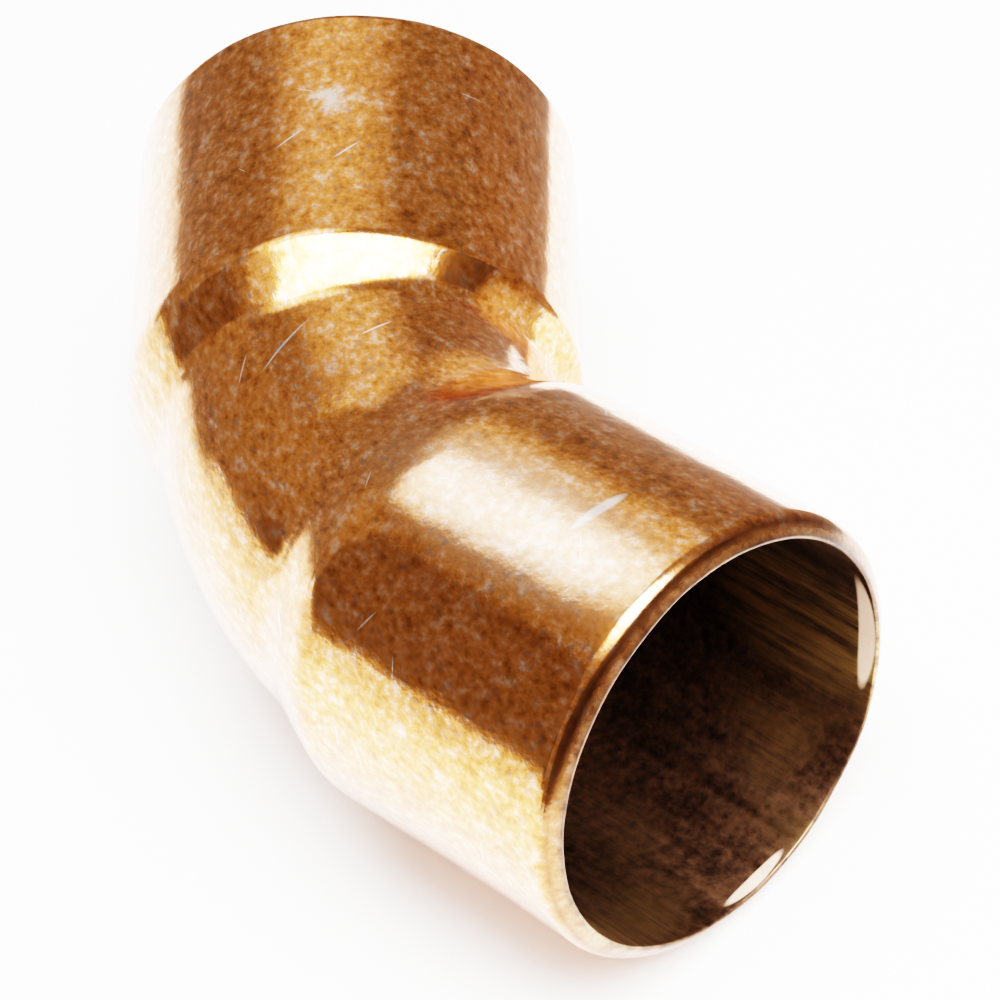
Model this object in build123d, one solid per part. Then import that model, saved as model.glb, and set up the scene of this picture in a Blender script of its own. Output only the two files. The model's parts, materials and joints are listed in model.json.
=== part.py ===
"""Wrot copper 45 degree elbow with a solder socket at each end, for 1/2 in nominal tube.

The real fitting is one piece of drawn copper tube. It is bent in the middle, and each end is
expanded into a socket that a tube slides into until it meets the shoulder. All sizes are mm.

Frame: the origin is the middle of socket A's mouth and +X runs into that socket. The bend lies
in the XY plane and turns towards +Y. +Z is square to the bend, so the fitting lies on its side.
"""

import os
from math import cos, radians, sin, sqrt, tan

from build123d import *

# Solder sockets
SOCKET_BORE_DIAMETER = 15.98    # takes 15.875 mm tube with a capillary gap for the solder
SOCKET_LENGTH = 12.45           # the straight part, from the mouth to where the shoulder starts
WALL = 0.82                     # the same all over, because the fitting is formed from one tube
MOUTH_OUTER_ROUND = 0.68        # the tumbled outer edge of the mouth
MOUTH_INNER_ROUND = 0.09        # the broken inner edge of the mouth

# Bend, which starts close behind each socket
BEND_ANGLE = 45.0
CENTRE_TO_MOUTH = 19.3          # from the crossing of the two axes to either mouth
BEND_RADIUS = 16.5              # of the middle line
NECK_DIAMETER = 15.5            # outside, between the two shoulders

# Shoulder, a cone between two tangent arcs that takes the socket down to the neck
SHOULDER_ANGLE = 27.0
SHOULDER_CREST_RADIUS = 1.3     # outside, where the socket turns in
SHOULDER_FOOT_RADIUS = 2.15     # outside, where the cone turns back to the neck
SECTIONS_IN_SHOULDER = 9        # circles that the bent shoulder is drawn through
SECTIONS_IN_NECK = 5

# Worked out from the sizes above
BORE_RADIUS = SOCKET_BORE_DIAMETER / 2
SOCKET_RADIUS = BORE_RADIUS + WALL
NECK_RADIUS = NECK_DIAMETER / 2
STRAIGHT_LENGTH = CENTRE_TO_MOUTH - BEND_RADIUS * tan(radians(BEND_ANGLE / 2))
PATH_LENGTH = 2 * STRAIGHT_LENGTH + BEND_RADIUS * radians(BEND_ANGLE)


def shoulder_drop(distance, crest_radius, foot_radius):
    """How far in the wall has come at a distance past the socket: crest arc, cone, foot arc."""
    angle = radians(SHOULDER_ANGLE)
    crest_length, crest_drop = crest_radius * sin(angle), crest_radius * (1 - cos(angle))
    foot_length, foot_drop = foot_radius * sin(angle), foot_radius * (1 - cos(angle))
    drop = SOCKET_RADIUS - NECK_RADIUS
    length = crest_length + foot_length + (drop - crest_drop - foot_drop) / tan(angle)
    if distance < crest_length:
        return crest_radius - sqrt(crest_radius**2 - distance**2)
    if distance < length - foot_length:
        return crest_drop + (distance - crest_length) * tan(angle)
    if distance < length:
        return drop - foot_radius + sqrt(foot_radius**2 - (length - distance) ** 2)
    return drop


def shoulder_length():
    """From the end of the straight socket to where the neck is plain tube again."""
    angle = radians(SHOULDER_ANGLE)
    radii = SHOULDER_CREST_RADIUS + SHOULDER_FOOT_RADIUS
    cone_drop = SOCKET_RADIUS - NECK_RADIUS - radii * (1 - cos(angle))
    return radii * sin(angle) + cone_drop / tan(angle)


def section_plane(station):
    """The plane square to the middle line at a distance along it from socket A's mouth."""
    if station <= STRAIGHT_LENGTH:
        return Plane(origin=(station, 0, 0), x_dir=(0, 0, 1), z_dir=(1, 0, 0))
    turned = min((station - STRAIGHT_LENGTH) / BEND_RADIUS, radians(BEND_ANGLE))
    beyond = max(station - STRAIGHT_LENGTH - BEND_RADIUS * radians(BEND_ANGLE), 0)
    x = STRAIGHT_LENGTH + BEND_RADIUS * sin(turned) + beyond * cos(turned)
    y = BEND_RADIUS * (1 - cos(turned)) + beyond * sin(turned)
    return Plane(origin=(x, y, 0), x_dir=(0, 0, 1), z_dir=(cos(turned), sin(turned), 0))


def middle_solid(socket_radius, crest_radius, foot_radius):
    """Both shoulders and the bent neck, as one skin through circles square to the middle line."""
    first, last = SOCKET_LENGTH, PATH_LENGTH - SOCKET_LENGTH
    length = shoulder_length()
    shoulder = [length * i / SECTIONS_IN_SHOULDER for i in range(SECTIONS_IN_SHOULDER + 1)]
    neck_length = last - first - 2 * length
    neck = [length + neck_length * i / SECTIONS_IN_NECK for i in range(1, SECTIONS_IN_NECK)]
    offsets = shoulder + neck + [last - first - offset for offset in reversed(shoulder)]
    circles = []
    for offset in offsets:
        nearest = min(offset, last - first - offset)
        radius = socket_radius - shoulder_drop(nearest, crest_radius, foot_radius)
        circles.append(section_plane(first + offset) * Circle(radius))
    return loft(circles)


def socket_ring():
    """Socket A's straight wall with its rounded mouth, about the X axis."""
    ring = Plane.YZ * (Circle(SOCKET_RADIUS) - Circle(BORE_RADIUS))
    ring = extrude(ring, SOCKET_LENGTH)
    mouth_edges = ring.edges().filter_by(GeomType.CIRCLE).group_by(Axis.X)[0].sort_by(SortBy.RADIUS)
    ring = fillet(mouth_edges[-1], MOUTH_OUTER_ROUND)
    mouth_edges = ring.edges().filter_by(GeomType.CIRCLE).group_by(Axis.X)[0].sort_by(SortBy.RADIUS)
    return fillet(mouth_edges[0], MOUTH_INNER_ROUND)


def elbow_solid():
    """Both sockets and the bent middle as the one formed piece that they are."""
    outside = middle_solid(SOCKET_RADIUS, SHOULDER_CREST_RADIUS, SHOULDER_FOOT_RADIUS)
    inside = middle_solid(BORE_RADIUS, SHOULDER_CREST_RADIUS - WALL, SHOULDER_FOOT_RADIUS + WALL)
    socket_a = socket_ring()
    half_turn = radians(BEND_ANGLE / 2)
    mirror_plane = Plane(
        origin=section_plane(PATH_LENGTH / 2).origin, z_dir=(cos(half_turn), sin(half_turn), 0)
    )
    socket_b = mirror(socket_a, about=mirror_plane)
    return socket_a + (outside - inside) + socket_b


os.makedirs("parts", exist_ok=True)
elbow = elbow_solid()
elbow.label = "elbow_body"
export_step(elbow, "parts/elbow_body.step")
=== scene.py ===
"""Looks of the wrot copper elbow: its formed skin, its tarnished metal, the studio and the camera.

Lengths are in metres, in the CAD frame, except on the straightened tube that the material reads,
which is in millimetres.
"""

import json
from math import atan2, cos, pi, radians, sin, tan

import bpy
import numpy as np
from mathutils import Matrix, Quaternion, Vector


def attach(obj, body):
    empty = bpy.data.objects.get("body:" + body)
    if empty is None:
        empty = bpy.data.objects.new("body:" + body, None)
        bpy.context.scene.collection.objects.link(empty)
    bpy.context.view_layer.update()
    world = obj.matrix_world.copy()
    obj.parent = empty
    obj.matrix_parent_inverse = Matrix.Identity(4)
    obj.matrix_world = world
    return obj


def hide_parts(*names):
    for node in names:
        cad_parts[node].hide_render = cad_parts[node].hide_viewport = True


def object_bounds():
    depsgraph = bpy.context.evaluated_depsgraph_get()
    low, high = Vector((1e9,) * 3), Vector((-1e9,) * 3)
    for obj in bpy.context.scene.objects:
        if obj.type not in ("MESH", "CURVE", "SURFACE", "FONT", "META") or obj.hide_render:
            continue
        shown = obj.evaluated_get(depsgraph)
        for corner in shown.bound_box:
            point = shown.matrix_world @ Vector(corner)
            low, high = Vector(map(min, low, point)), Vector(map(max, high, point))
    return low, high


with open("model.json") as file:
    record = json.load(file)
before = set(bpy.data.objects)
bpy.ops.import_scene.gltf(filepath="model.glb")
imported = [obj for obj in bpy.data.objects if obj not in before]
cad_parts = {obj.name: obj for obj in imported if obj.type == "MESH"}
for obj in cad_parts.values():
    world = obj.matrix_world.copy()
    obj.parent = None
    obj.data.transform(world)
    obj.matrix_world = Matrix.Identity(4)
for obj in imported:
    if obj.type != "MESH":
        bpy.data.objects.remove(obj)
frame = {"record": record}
cad_low, cad_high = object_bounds()

MM = 0.001

# ---------------------------------------------------------------- sizes, read from the frame
mounts = {mount["name"]: mount for mount in frame["record"]["mounts"]}
mouth_b = mounts["socket_b"]["pos_m"]
BEND = atan2(mounts["socket_b"]["axis"][1], mounts["socket_b"]["axis"][0])
CENTRE_TO_MOUTH = mouth_b[1] / sin(BEND)
BORE_RADIUS = mounts["socket_a"]["dims"]["r_mm"] * MM
SOCKET_RADIUS = (cad_high.z - cad_low.z) / 2
SOCKET_LENGTH = mounts["socket_a"]["dims"]["length_mm"] * MM
WALL = SOCKET_RADIUS - BORE_RADIUS

# sizes of the formed shape that the frame doesn't state
NECK_RADIUS = 7.75 * MM
BEND_RADIUS = 16.5 * MM
SHOULDER_ANGLE = radians(27)
CREST_RADIUS = 1.3 * MM
FOOT_RADIUS = 2.15 * MM
MOUTH_OUTER_ROUND = 0.64 * MM
MOUTH_INNER_ROUND = 0.10 * MM
MOUTH_SLOPE = radians(54)       # worn between the mouth's two rounds
STRAIGHT = CENTRE_TO_MOUTH - BEND_RADIUS * tan(BEND / 2)
PATH_LENGTH = 2 * STRAIGHT + BEND_RADIUS * BEND

# socket B's shoulder is longer and softer above, towards the crotch
SOFT_SHOULDER_START = 11.2 * MM
SOFT_SHOULDER_LENGTH = 5.8 * MM
SOFT_SHOULDER_SIDE = radians(125)           # round the tube from the heel, over the top
SOFT_SHOULDER_EDGE, SOFT_SHOULDER_FADE = 0.2, 0.6

# the wavelength and depth of the waves that forming left in the wall
LONG_WAVES = 10 * MM, 0.016 * MM
SHORT_WAVES = 2.9 * MM, 0.004 * MM
OUTSIDE_WAVES = 1.1 * MM, 0.0014 * MM
# how far a mouth's edge wanders, how deep that reaches, and its wavelength and evenness
EDGE_WANDER, EDGE_REACH, EDGE_WAVELENGTH, EDGE_OFFSET = 0.02 * MM, 0.6 * MM, 3.6 * MM, 2.4

AROUND = 256                                # points in each ring of the skin
OUTER_ROUND_RINGS, INNER_ROUND_RINGS = 11, 7
SOCKET_RINGS, SOCKET_RINGS_END = 30, 10 * MM
MIDDLE_RINGS = 56                           # from there to the middle of the bend
rng = np.random.default_rng(45)


# ---------------------------------------------------------------- the skin
def arc_points(centre, radius, start, end, count):
    """Points (distance from the mouth, radius) along an arc in the wall's section."""
    angle = np.linspace(start, end, count)
    return [(centre[0] + radius * cos(a), centre[1] + radius * sin(a)) for a in angle]


def mouth_rounds():
    """The mouth's outer round and its inner round, with a worn slope left between them."""
    sine, cosine = sin(MOUTH_SLOPE), cos(MOUTH_SLOPE)
    outer, inner = MOUTH_OUTER_ROUND, MOUTH_INNER_ROUND
    slope_length = (WALL - outer * (1 - cosine) - inner * (1 + cosine)) / sine
    outer_middle = inner * (1 - sine) + slope_length * cosine + outer * sine
    turned = pi / 2 + MOUTH_SLOPE
    outer_round = arc_points((outer_middle, SOCKET_RADIUS - outer), outer, turned, pi / 2,
                             OUTER_ROUND_RINGS)
    inner_round = arc_points((inner, BORE_RADIUS + inner), inner, turned, 3 * pi / 2,
                             INNER_ROUND_RINGS)
    return outer_round, inner_round


def section_loop():
    """Stations, radii and inside-ness of the rings, once round the wall: out along, back inside."""
    outer_round, inner_round = mouth_rounds()
    middle = PATH_LENGTH / 2

    def along(mouth_round, radius):
        near = list(mouth_round)
        near += [(d, radius) for d in np.linspace(near[-1][0], SOCKET_RINGS_END, SOCKET_RINGS)[1:]]
        near += [(d, radius) for d in np.linspace(SOCKET_RINGS_END, middle, MIDDLE_RINGS)[1:]]
        return near + [(PATH_LENGTH - d, r) for d, r in near[-2::-1]]

    outside = along(outer_round, SOCKET_RADIUS)
    inside = along(inner_round, BORE_RADIUS)[::-1]
    loop = np.array(outside + inside)
    return loop[:, 0], loop[:, 1], np.repeat([0.0, 1.0], [len(outside), len(inside)])


def shoulder_drop(from_mouth):
    """How far the shoulder has come in: a crest arc, a cone and a foot arc, each tangent."""
    drop = SOCKET_RADIUS - NECK_RADIUS
    sine, cosine, slope = sin(SHOULDER_ANGLE), cos(SHOULDER_ANGLE), tan(SHOULDER_ANGLE)
    crest_length, crest_drop = CREST_RADIUS * sine, CREST_RADIUS * (1 - cosine)
    foot_length, foot_drop = FOOT_RADIUS * sine, FOOT_RADIUS * (1 - cosine)
    length = crest_length + foot_length + (drop - crest_drop - foot_drop) / slope
    x = np.clip(from_mouth - SOCKET_LENGTH, 0, length)
    on_crest = CREST_RADIUS - np.sqrt(np.clip(CREST_RADIUS**2 - x**2, 0, None))
    on_cone = crest_drop + (x - crest_length) * slope
    on_foot = drop - FOOT_RADIUS + np.sqrt(np.clip(FOOT_RADIUS**2 - (length - x) ** 2, 0, None))
    below_crest = np.where(x < length - foot_length, on_cone, on_foot)
    return np.where(x < crest_length, on_crest, below_crest)


def soft_shoulder_drop(from_mouth):
    """The same step as a longer, gentler curve without a cone."""
    share = np.clip((from_mouth - SOFT_SHOULDER_START) / SOFT_SHOULDER_LENGTH, 0, 1)
    return (SOCKET_RADIUS - NECK_RADIUS) * (0.5 - 0.5 * np.cos(pi * share))


def centreline(station):
    """Where the middle line is at a station, and how far it has turned there."""
    turned = np.clip((station - STRAIGHT) / BEND_RADIUS, 0, BEND)
    before = np.minimum(station, STRAIGHT)
    after = np.maximum(station - STRAIGHT - BEND_RADIUS * BEND, 0)
    x = before + BEND_RADIUS * np.sin(turned) + after * np.cos(turned)
    y = BEND_RADIUS * (1 - np.cos(turned)) + after * np.sin(turned)
    return x, y, turned


def waves(points, wavelength, count=28):
    """A smooth random field of unit spread: plane waves in random directions."""
    direction = rng.normal(size=(count, 3))
    direction /= np.linalg.norm(direction, axis=1)[:, None]
    pitch = wavelength * rng.uniform(0.75, 1.4, count)
    phase = rng.uniform(0, 2 * pi, count)
    field = np.zeros(points.shape[:-1])
    for d, w, p in zip(direction, pitch, phase):
        field += np.cos(2 * pi * (points @ d) / w + p)
    return field / np.sqrt(count / 2)


def wavy(points, wavelength_and_depth):
    """Waves of the given wavelength and depth."""
    wavelength, depth = wavelength_and_depth
    return depth * waves(points, wavelength)


def skin_points():
    """The skin's points, the tube-straight coordinates they come from, and inside-ness."""
    station, radius, inside = section_loop()
    turn = np.linspace(0, 2 * pi, AROUND, endpoint=False)
    s, t = np.meshgrid(station, turn, indexing="ij")
    r = np.repeat(radius[:, None], AROUND, axis=1)
    straight = np.stack([r * np.cos(t), r * np.sin(t), s], axis=-1)

    from_b = PATH_LENGTH - s
    nearer_a = s < PATH_LENGTH / 2
    facing = np.cos(t - SOFT_SHOULDER_SIDE)
    soft = np.clip((facing - SOFT_SHOULDER_EDGE) / SOFT_SHOULDER_FADE, 0, 1)
    drop_b = (1 - soft) * shoulder_drop(from_b) + soft * soft_shoulder_drop(from_b)
    r = r - np.where(nearer_a, shoulder_drop(s), drop_b)
    sunk = wavy(straight, LONG_WAVES) + wavy(straight, SHORT_WAVES)
    sunk += np.where(inside[:, None] > 0, 0, wavy(straight, OUTSIDE_WAVES))
    r = r - (sunk - sunk[inside == 0].min())

    edge = np.exp(-((np.minimum(s, from_b) / EDGE_REACH) ** 2))
    ragged = EDGE_WANDER * (EDGE_OFFSET + waves(straight * [1, 1, 0], EDGE_WAVELENGTH)) * edge
    s = s + np.where(nearer_a, 1, -1) * np.clip(ragged, 0, None)

    x, y, turned = centreline(s)
    points = np.stack(
        [
            x + r * np.cos(t) * np.sin(turned),
            y - r * np.cos(t) * np.cos(turned),
            r * np.sin(t),
        ],
        axis=-1,
    )
    return points, straight, np.repeat(inside[:, None], AROUND, axis=1)


def skin_object(name, points, attributes):
    """A closed mesh from rings of points, with its named point attributes."""
    rings, around = points.shape[:2]
    index = np.arange(rings * around).reshape(rings, around)
    next_ring, next_point = np.roll(index, -1, axis=0), np.roll(index, -1, axis=1)
    corner = np.roll(next_ring, -1, axis=1)
    quads = np.stack([index, next_ring, corner, next_point], axis=-1).reshape(-1, 4)
    mesh = bpy.data.meshes.new(name)
    mesh.from_pydata(points.reshape(-1, 3).tolist(), [], quads.tolist())
    mesh.update()
    mesh.shade_smooth()
    for key, (kind, values) in attributes.items():
        layer = mesh.attributes.new(key, kind, "POINT")
        field = "vector" if kind == "FLOAT_VECTOR" else "value"
        layer.data.foreach_set(field, np.ascontiguousarray(values, np.float32).ravel())
    made = bpy.data.objects.new(name, mesh)
    bpy.context.scene.collection.objects.link(made)
    return made


# ---------------------------------------------------------------- material
class Nodes:
    """Short calls for building one material's node tree."""

    def __init__(self, tree):
        self.tree = tree
        tree.nodes.clear()

    def add(self, kind, settings=None, **inputs):
        node = self.tree.nodes.new(kind)
        for key, value in (settings or {}).items():
            setattr(node, key, value)
        for key, value in inputs.items():
            self.set(node, key, value)
        return node

    def set(self, node, key, value):
        socket = node.inputs[int(key[1:])] if key[0] == "i" and key[1:].isdigit() else (
            node.inputs[key.replace("_", " ")]
        )
        if isinstance(value, bpy.types.NodeSocket):
            self.tree.links.new(value, socket)
        else:
            socket.default_value = value

    def noise(self, where, scale, detail=3.0, rough=0.6, distortion=0.0):
        node = self.add("ShaderNodeTexNoise", Vector=where, Scale=scale, Detail=detail,
                        Roughness=rough, Distortion=distortion)
        return node.outputs["Fac"]

    def ramp(self, value, *stops):
        """A colour ramp. Each stop is (place, colour) or (place, grey)."""
        node = self.add("ShaderNodeValToRGB", Fac=value)
        ramp = node.color_ramp
        while len(ramp.elements) < len(stops):
            ramp.elements.new(0.5)
        for element, (place, colour) in zip(ramp.elements, stops):
            element.position = place
            grey = isinstance(colour, (int, float))
            element.color = (colour, colour, colour, 1) if grey else (*colour, 1)
        return node.outputs["Color"]

    def maths(self, operation, a, b=0.0, clamp=False):
        node = self.add("ShaderNodeMath", {"operation": operation, "use_clamp": clamp}, i0=a, i1=b)
        return node.outputs[0]

    def mix(self, amount, a, b, blend="MIX"):
        """a and b mixed. Either may be an output, a colour or a grey."""
        node = self.add("ShaderNodeMix", {"data_type": "RGBA", "blend_type": blend})
        self.set(node, "i0", amount)
        for key, value in (("i6", a), ("i7", b)):
            if isinstance(value, float):
                value = (value, value, value)
            self.set(node, key, (*value, 1) if isinstance(value, tuple) else value)
        return node.outputs[2]

    def spot(self, where, place, size, angle=0.0):
        """1 in the middle of an ellipsoid of the given half sizes, fading to 0 at its skin."""
        node = self.add("ShaderNodeMapping", {"vector_type": "TEXTURE"}, Vector=where,
                        Location=place, Rotation=(0, angle, 0), Scale=size)
        ball = self.add("ShaderNodeTexGradient", {"gradient_type": "SPHERICAL"},
                        Vector=node.outputs[0])
        return ball.outputs["Fac"]

    def patch(self, where, place, size, edge, full):
        """A spot that reaches its full amount by the share edge of the way in."""
        return self.ramp(self.spot(where, place, size), (0.0, 0.0), (edge, full))


# places on the straightened tube: (heel side, up, along from socket A's mouth), in millimetres.
# Each patch has a place and its half sizes; a paler patch, painted where highlights fall, also has
# how much paler it is.
PAINTED_HIGHLIGHT_PATCHES = [
    ((0.8, 8.7, 31.0), (3.2, 2.0, 8.0), 0.08),      # the upper side of socket B, paler as a painted highlight
    ((0.5, 7.7, 18.9), (3.0, 3.0, 3.0), 0.05),      # the middle of the neck, paler as a painted highlight
    ((-1.2, 8.7, 5.5), (1.3, 1.5, 1.0), 0.22),      # a pale spot on socket A, a painted highlight
]
PAINTED_HAZE_PATCHES = [
    ((0.8, 8.7, 31.0), (3.1, 1.8, 8.0)),            # a pale haze painted over the highlight on the upper side of socket B
]
DULL_PATCHES = [
    ((-5.2, 7.0, 22.6), (3.6, 2.8, 3.2)),           # the foot of socket B's shoulder, in the crotch
    ((-7.6, 4.2, 15.2), (1.8, 2.6, 2.2)),           # the foot of socket A's shoulder, in the crotch
]
PAINTED_HIGHLIGHT_EDGES = [
    ((-7.6, -1.9, 37.35), (1.3, 3.2, 0.48)),        # a painted highlight inside socket B's mouth, on the crotch side
    ((0.3, -8.0, 37.50), (1.7, 0.9, 0.28)),         # a painted highlight inside socket B's mouth, below
]
DRAWN_PATCHES = [
    ((-7.5, -2.7, 34.5), (3.2, 3.2, 5.5)),          # inside socket B, on the crotch side
    ((7.5, -2.7, 34.5), (2.8, 2.2, 5.5)),           # inside socket B, on the heel side
]
# a place, the angle across the tube in degrees, half the length and half the width
SCRATCHES = [
    ((1.6, 8.65, 16.75), 26, 1.70, 0.060),          # two on the neck
    ((-2.34, 8.50, 17.56), 16, 0.90, 0.055),
    ((0.43, 8.80, 7.30), 36, 0.80, 0.045),          # two on socket A
    ((-1.80, 8.60, 8.26), 42, 0.70, 0.045),
    ((-1.00, 8.70, 33.20), -8, 1.40, 0.260),        # a painted glint where a knock dents socket B
]
SMALL_SCRATCHES = 26
SCRATCH_DEPTH = 0.6             # half the height of a scratch's ellipsoid, through the surface

# copper from its darkest tarnish to bare metal: (mottle, colour)
TARNISH = [
    (0.36, (0.36, 0.112, 0.020)),
    (0.46, (0.66, 0.205, 0.038)),
    (0.54, (0.85, 0.285, 0.078)),
    (0.64, (0.95, 0.50, 0.30)),
    (0.74, (1.0, 0.76, 0.58)),
]
BROAD_SHADE = (0.66, 0.56, 0.50)
DARK_SPECK = (0.15, 0.060, 0.020)
PALE_SPECK = (0.97, 0.55, 0.36)
# pale scratches, and the knock's painted glint
SCRATCH_AND_GLINT_COLOUR = (1.0, 0.84, 0.74)
# the colour of the painted highlight haze
HIGHLIGHT_HAZE_COLOUR = (0.97, 0.66, 0.48)
# a painted dark reflection on the mouths' outer rounds: its colour and how strongly it is laid on
RIM_DARK_REFLECTION, RIM_DARK_REFLECTION_SHARE = (0.13, 0.045, 0.016), 0.84
RIM_END, RIM_FADED = 0.34, 0.66         # millimetres from a mouth
# the colour of the painted highlights inside socket B's mouth
EDGE_HIGHLIGHT_COLOUR = (0.95, 0.62, 0.42)
INSIDE_DULL = [(0.38, (0.040, 0.021, 0.014)), (0.62, (0.15, 0.073, 0.040))]
INSIDE_LINES = [(0.40, (0.08, 0.041, 0.020)), (0.64, (0.60, 0.34, 0.13))]
# the last metallic is for the painted highlights inside socket B's mouth
METALLIC_OUTSIDE, METALLIC_INSIDE, METALLIC_DULL, METALLIC_EDGE_HIGHLIGHT = 1.0, 0.962, 0.88, 0.60
ROUGH_RIM = 0.18
BUMP_HEIGHT = 0.006 * MM
COAT, COAT_ROUGHNESS = 0.15, 0.12
GRAIN_STRETCH = (1.0, 1.0, 0.85)        # the mottle is a little longer along the tube
DRAWN_STRETCH = (1.8, 1.8, 0.14)        # the lines inside are long and thin


def small_scratches(count):
    """Faint short scratches in random places all over the outside."""
    radius, ends = 8.8, (1, 36.5)
    for turn, along in zip(rng.uniform(0, 2 * pi, count), rng.uniform(*ends, count)):
        place = (radius * cos(turn), radius * sin(turn), along)
        yield place, rng.uniform(-70, 70), rng.uniform(0.25, 0.7), rng.uniform(0.02, 0.04)


def outside_colour(n, straight, lengthwise, mottle, rim):
    """Mottled tarnish with specks and scratches, a painted highlight haze and a knock's painted
    glint, and a painted dark reflection on the mouths' rounds.
    """
    broad = n.noise(straight, 0.22, 2.0, 0.5)
    colour = n.ramp(mottle, *TARNISH)
    colour = n.mix(n.ramp(broad, (0.42, 0.0), (0.62, 0.25)), colour, BROAD_SHADE, "MULTIPLY")
    dark_specks = n.ramp(n.noise(lengthwise, 3.4, 2.0, 0.5), (0.58, 0.0), (0.70, 0.60))
    pale_specks = n.ramp(n.noise(lengthwise, 3.4, 3.0, 0.55), (0.55, 0.0), (0.70, 0.22))
    colour = n.mix(dark_specks, colour, DARK_SPECK)
    colour = n.mix(pale_specks, colour, PALE_SPECK)
    for place, angle, length, width in [*SCRATCHES, *small_scratches(SMALL_SCRATCHES)]:
        line = n.spot(straight, place, (length, SCRATCH_DEPTH, width), -radians(angle))
        colour = n.mix(n.ramp(line, (0.0, 0.0), (0.4, 0.9)), colour, SCRATCH_AND_GLINT_COLOUR)
    # a painted highlight: pale haze over socket B's upper side
    for place, size in PAINTED_HAZE_PATCHES:
        colour = n.mix(n.patch(straight, place, size, 0.5, 0.28), colour, HIGHLIGHT_HAZE_COLOUR)
    # painted dark reflection on the mouths' outer rounds
    return n.mix(n.maths("MULTIPLY", rim, RIM_DARK_REFLECTION_SHARE), colour, RIM_DARK_REFLECTION)


def inside_colour(n, straight, mottle, drawn):
    """Dark tarnish inside, with paler drawn lines in places."""
    where_drawn = n.ramp(n.noise(straight, 0.154, 1.0, 0.5), (0.50, 0.0), (0.64, 0.35))
    for place, size in DRAWN_PATCHES:
        where_drawn = n.mix(1.0, where_drawn, n.patch(straight, place, size, 0.45, 0.9), "LIGHTEN")
    return n.mix(where_drawn, n.ramp(mottle, *INSIDE_DULL), n.ramp(drawn, *INSIDE_LINES))


def copper_material():
    """Bright orange-brown copper, mottled by tarnish, dark and drawn along inside."""
    material = bpy.data.materials.new("tarnished_copper")
    material.use_nodes = True
    n = Nodes(material.node_tree)
    straight = n.add("ShaderNodeAttribute", {"attribute_name": "straight_mm"}).outputs["Vector"]
    inside = n.add("ShaderNodeAttribute", {"attribute_name": "inside"}).outputs["Fac"]
    lengthwise = n.add("ShaderNodeMapping", Vector=straight, Scale=GRAIN_STRETCH).outputs[0]
    along = n.add("ShaderNodeMapping", Vector=straight, Scale=DRAWN_STRETCH).outputs[0]
    drawn = n.noise(along, 0.9, 4.0, 0.65)

    from_a = n.add("ShaderNodeSeparateXYZ", Vector=straight).outputs["Z"]
    from_mouth = n.maths("MINIMUM", from_a, n.maths("SUBTRACT", PATH_LENGTH / MM, from_a))
    rim = n.maths("MULTIPLY", n.ramp(from_mouth, (RIM_END, 1.0), (RIM_FADED, 0.0)),
                  n.maths("SUBTRACT", 1.0, inside))

    fine = n.noise(lengthwise, 3.0, 4.0, 0.60)
    coarse = n.noise(lengthwise, 1.2, 3.0, 0.6)
    mottle = n.maths("ADD", n.maths("MULTIPLY", fine, 0.66), n.maths("MULTIPLY", coarse, 0.34))
    # painted highlights: the mottle made paler where highlights fall
    for place, size, amount in PAINTED_HIGHLIGHT_PATCHES:
        painted_paleness = n.maths("MULTIPLY", n.spot(straight, place, size), amount)
        mottle = n.maths("ADD", mottle, painted_paleness)

    colour = n.mix(inside, outside_colour(n, straight, lengthwise, mottle, rim),
                   inside_colour(n, straight, mottle, drawn))
    metallic = n.ramp(inside, (0.0, METALLIC_OUTSIDE), (1.0, METALLIC_INSIDE))
    for place, size in DULL_PATCHES:
        metallic = n.mix(n.patch(straight, place, size, 0.5, 1.0), metallic, METALLIC_DULL)
    # painted highlights inside socket B's mouth: paler and less metallic
    for place, size in PAINTED_HIGHLIGHT_EDGES:
        edge_highlight = n.maths("MULTIPLY", n.patch(straight, place, size, 0.22, 0.9), inside)
        colour = n.mix(edge_highlight, colour, EDGE_HIGHLIGHT_COLOUR)
        metallic = n.mix(edge_highlight, metallic, METALLIC_EDGE_HIGHLIGHT)

    rough_outside = n.ramp(mottle, (0.40, 0.16), (0.60, 0.10))
    rough_inside = n.ramp(drawn, (0.35, 0.5), (0.65, 0.3))
    rough = n.mix(inside, n.mix(rim, rough_outside, ROUGH_RIM), rough_inside)
    height = n.mix(inside, n.noise(lengthwise, 3.4, 2.0, 0.5), drawn)
    bump = n.add("ShaderNodeBump", Strength=1.0, Distance=BUMP_HEIGHT, Height=height)
    shader = n.add("ShaderNodeBsdfPrincipled", Base_Color=colour, Roughness=rough,
                   Metallic=metallic, Normal=bump.outputs[0], Coat_Weight=COAT,
                   Coat_Roughness=COAT_ROUGHNESS)
    n.add("ShaderNodeOutputMaterial", Surface=shader.outputs[0])
    return material


# ---------------------------------------------------------------- the object
points, straight, inside = skin_points()
elbow = skin_object(
    "elbow_skin",
    points,
    {
        "straight_mm": ("FLOAT_VECTOR", straight / MM),
        "inside": ("FLOAT", inside),
    },
)
elbow.data.materials.append(copper_material())
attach(elbow, "root")
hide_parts("elbow_body")


# ---------------------------------------------------------------- studio
def plain_card(name, finish, corners, colour, roughness):
    """A flat four-cornered piece of the stage, in one plain colour."""
    mesh = bpy.data.meshes.new(name)
    mesh.from_pydata(corners, [], [(0, 1, 2, 3)])
    card = bpy.data.objects.new(name, mesh)
    bpy.context.scene.collection.objects.link(card)
    material = bpy.data.materials.new(finish)
    material.use_nodes = True
    n = Nodes(material.node_tree)
    shader = n.add("ShaderNodeBsdfPrincipled", Base_Color=(*colour, 1), Roughness=roughness)
    n.add("ShaderNodeOutputMaterial", Surface=shader.outputs[0])
    mesh.materials.append(material)
    return card


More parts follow.
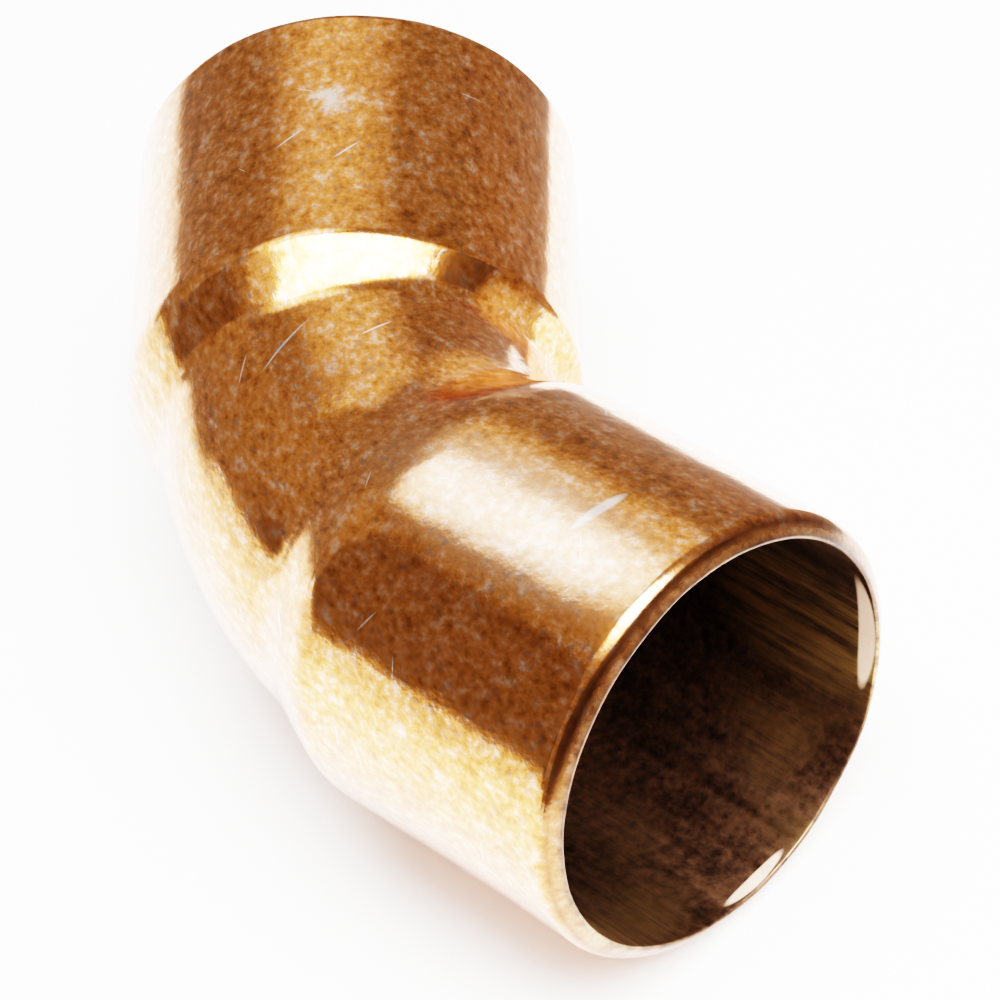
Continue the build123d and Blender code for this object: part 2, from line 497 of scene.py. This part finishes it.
def floor_object():
    """A plain pale table top that the elbow lies on."""
    half = 1.5
    corners = [(-half, -half, 0), (half, -half, 0), (half, half, 0), (-half, half, 0)]
    floor = plain_card("floor", "pale_table", corners, (0.86, 0.86, 0.85), 0.9)
    floor.location = (CENTRE_TO_MOUTH, 0, cad_low.z)


def softbox(name, direction, distance, size, radiance, aim, colour=(1, 1, 1)):
    """A rectangular soft light that faces the aim point from a direction."""
    light = bpy.data.lights.new(name, "AREA")
    light.shape = "RECTANGLE"
    light.size, light.size_y = size
    light.energy = radiance * pi * size[0] * size[1]
    light.color = colour
    lamp = bpy.data.objects.new(name, light)
    direction = Vector(direction).normalized()
    lamp.location = aim + direction * distance
    lamp.rotation_mode = "QUATERNION"
    lamp.rotation_quaternion = direction.to_track_quat("Z", "Y")
    lamp.visible_camera = False
    bpy.context.scene.collection.objects.link(lamp)
    return lamp


def soft_spot(name, direction, distance, size, radiance, aim, layers, colour=(1, 1, 1)):
    """A round soft light whose edge fades: discs of growing size, one in front of the other."""
    gap = 0.01                              # between two discs, as a share of the distance
    for layer in range(layers):
        share = (layer + 1) / layers
        lamp = softbox(f"{name}_{layer}", direction, distance * (1 + gap * layer),
                       (size[0] * share, size[1] * share), radiance / layers, aim, colour)
        lamp.data.shape = "ELLIPSE"
        lamp.data.energy *= pi / 4          # a disc's share of its square


def flag(name, direction, distance, size, grey, lift=0.0):
    """A dark upright card over the table, seen only in the metal's reflections."""
    direction = Vector((*direction, 0)).normalized()
    across = Vector((-direction.y, direction.x, 0)) * size[0] / 2
    foot = Vector((CENTRE_TO_MOUTH, 0, cad_low.z + lift)) + direction * distance
    rise = Vector((0, 0, size[1]))
    corners = [foot - across, foot + across, foot + across + rise, foot - across + rise]
    card = plain_card(name, name, corners, (grey, grey, grey), 1.0)
    card.visible_camera = card.visible_shadow = card.visible_diffuse = False


def studio_world(radiance):
    """Dim, even surroundings above the table."""
    world = bpy.data.worlds.new("studio")
    world.use_nodes = True
    n = Nodes(world.node_tree)
    background = n.add("ShaderNodeBackground", Color=(1, 1, 1, 1), Strength=radiance)
    n.add("ShaderNodeOutputWorld", Surface=background.outputs[0])
    bpy.context.scene.world = world


def camera_object(azimuth, elevation, roll, distance, lens, aim):
    """A camera turned round the aim point. Azimuth 0 looks along +Y."""
    data = bpy.data.cameras.new("camera")
    data.lens = lens
    data.sensor_width = 36
    camera = bpy.data.objects.new("camera", data)
    a, e = radians(azimuth), radians(elevation)
    back = Vector((sin(a) * cos(e), -cos(a) * cos(e), sin(e)))
    camera.location = aim + back * distance
    camera.rotation_mode = "QUATERNION"
    camera.rotation_quaternion = back.to_track_quat("Z", "Y") @ Quaternion((0, 0, 1), radians(roll))
    data.clip_start, data.clip_end = 0.01, 10
    bpy.context.scene.collection.objects.link(camera)
    bpy.context.scene.camera = camera


crossing = Vector((CENTRE_TO_MOUTH, 0, 0))          # where the two sockets' axes meet
ABOVE = (0.19, 0.30, 0.94)
COOL = (0.85, 0.92, 1.0)
floor_object()
# each lamp: direction from its aim point, distance, size across and up, radiance
soft_spot("overhead", ABOVE, 0.215, (0.15, 0.42), 60.0, crossing, layers=3)
wash = softbox("wash", (0.3, 0.3, 0.9), 0.5, (0.6, 0.6), 6.5, crossing)
wash.visible_glossy = False             # it only lightens the inside and the table
soft_spot("back", (-0.59, -0.26, 0.76), 0.072, (0.058, 0.035), 8.0,
          crossing + Vector((13, 9, 9)) * MM, layers=10, colour=COOL)
soft_spot("fill", (-0.76, 0.02, 0.62), 0.286, (0.25, 0.19), 1.2, crossing, layers=9)
softbox("side", (0.24, -0.97, 0.03), 0.286, (0.43, 0.05), 3.1, crossing, colour=COOL)
softbox("glow", ABOVE, 0.23, (0.21, 0.52), 0.8, crossing)
# each card: direction over the table, distance, width and height, grey, height of its foot
flag("camera_flag", (0.80, 0.60), 0.0715, (0.172, 0.079), 0.02)
flag("far_flag", (-0.45, 0.89), 0.032, (0.072, 0.019), 0.10)
flag("end_flag", (-1.0, 0.1), 0.064, (0.072, 0.019), 0.10)
flag("side_flag", (0.225, -0.974), 0.20, (0.215, 0.22), 0.028, lift=0.045)
flag("heel_flag", (-0.50, -0.866), 0.20, (0.12, 0.22), 0.055, lift=0.045)
studio_world(0.40)
camera_object(azimuth=103.249, elevation=45.951, roll=-19.027, distance=0.173896, lens=166.487,
              aim=crossing + Vector((-0.508, 5.468, -0.734)) * MM)
bpy.context.scene.view_settings.view_transform = "Filmic"
bpy.context.scene.view_settings.look = "High Contrast"
